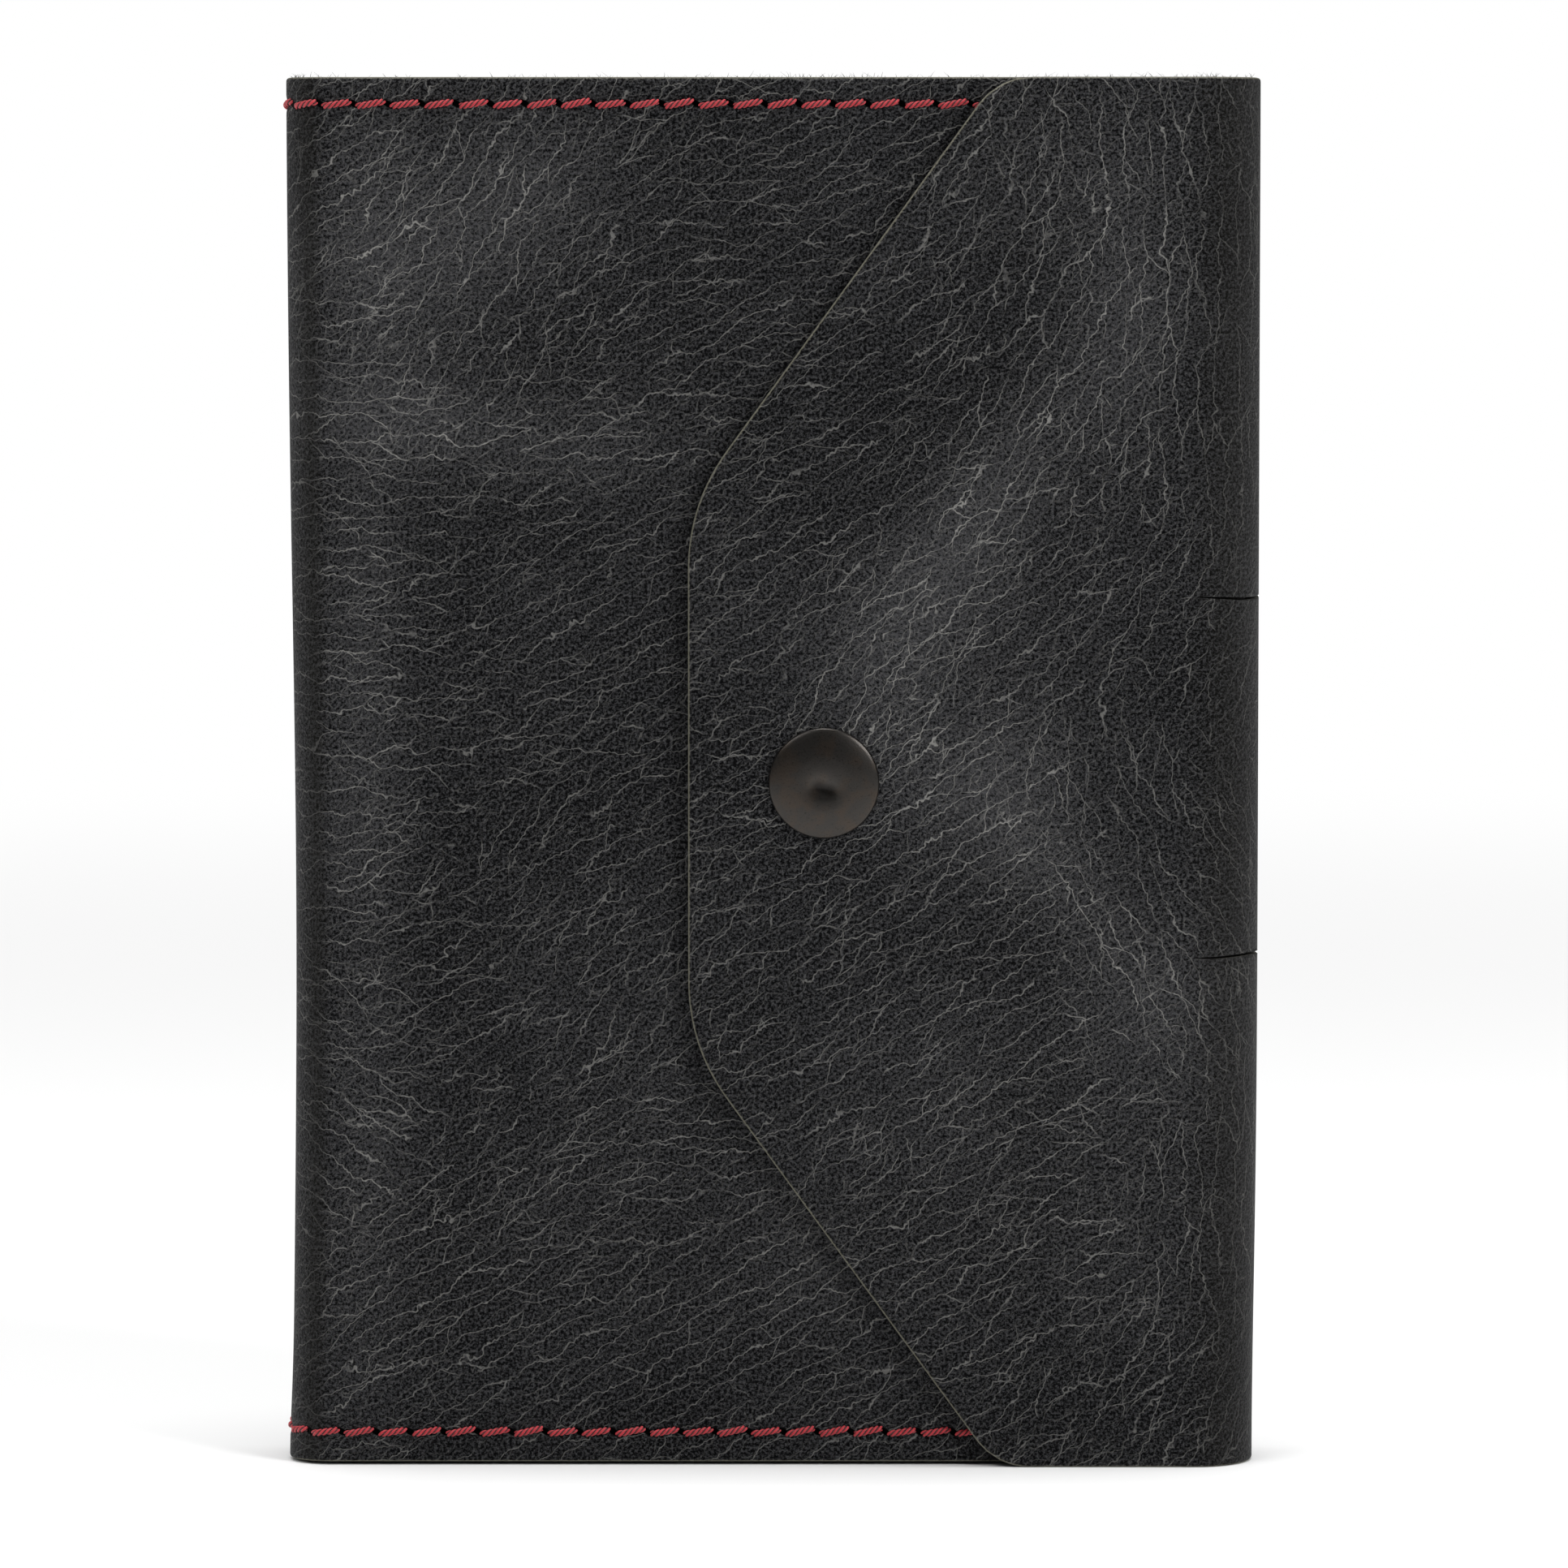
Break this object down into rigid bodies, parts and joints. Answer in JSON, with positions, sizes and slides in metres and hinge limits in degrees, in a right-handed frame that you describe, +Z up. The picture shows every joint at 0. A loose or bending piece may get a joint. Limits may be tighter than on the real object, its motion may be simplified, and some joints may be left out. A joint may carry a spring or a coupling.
{
  "type": "leather notebook cover",
  "caption": "Slim dark leather notebook cover with an angled fold-over flap closed by a snap, red saddle-stitched edges and a pen loop cut into its fore-edge, holding a pocket notebook.",
  "frame": {"origin": "middle of the closed cover's footprint, on the surface it stands on", "axes": "+Z up along the height of the closed cover standing on its bottom edge; the front with the flap faces -Y; the spine is at -X and the fore-edge at +X"},
  "size_m": [0.1102, 0.018, 0.157],
  "materials": {
    "leather": "pull-up leather, satin, charcoal with paler creases",
    "flesh_side": "matt, suede-like flesh side",
    "thread": "waxed twisted polyester, satin",
    "gunmetal": "dark gunmetal plating, satin",
    "spring_wire": "bright drawn wire",
    "notebook_cover": "matt cloth-covered board",
    "paper": "uncoated cream paper"
  },
  "bodies": {
    "back": {"back_panel": "leather", "back_pocket": "flesh_side", "notebook_back_board": "notebook_cover", "pages_back": "paper", "seam_back_top": "thread", "seam_back_bottom": "thread"},
    "spine": {"spine_wrap": "leather", "notebook_spine": "notebook_cover", "seam_spine_top": "thread", "seam_spine_bottom": "thread"},
    "front": {"front_panel": "leather", "front_edge_fold": "leather", "front_pocket": "flesh_side", "notebook_front_board": "notebook_cover", "pages_front": "paper", "snap_stud": "gunmetal", "snap_post": "gunmetal", "seam_front_top": "thread", "seam_front_bottom": "thread"},
    "fore_edge": {"fore_edge_upper": "leather", "pen_loop_strip": "leather", "fore_edge_lower": "leather"},
    "flap": {"flap": "leather", "snap_cap": "gunmetal", "snap_socket": "gunmetal", "snap_spring": "spring_wire"}
  },
  "joints": [
    {"name": "spine_back_fold", "type": "hinge", "parent": "back", "child": "spine", "pos_m": [-0.05324, 0.00711, 0.0785], "axis": [0, 0, -1], "range_deg": [0, 90]},
    {"name": "spine_front_fold", "type": "hinge", "parent": "spine", "child": "front", "pos_m": [-0.05324, -0.00396, 0.0785], "axis": [0, 0, -1], "range_deg": [0, 90]},
    {"name": "fore_edge_fold", "type": "hinge", "parent": "back", "child": "fore_edge", "pos_m": [0.05301, 0.00668, 0.0785], "axis": [0, 0, 1], "range_deg": [0, 90]},
    {"name": "flap_fold", "type": "hinge", "parent": "fore_edge", "child": "flap", "pos_m": [0.05301, -0.00543, 0.0785], "axis": [0, 0, 1], "range_deg": [0, 90]}
  ]
}
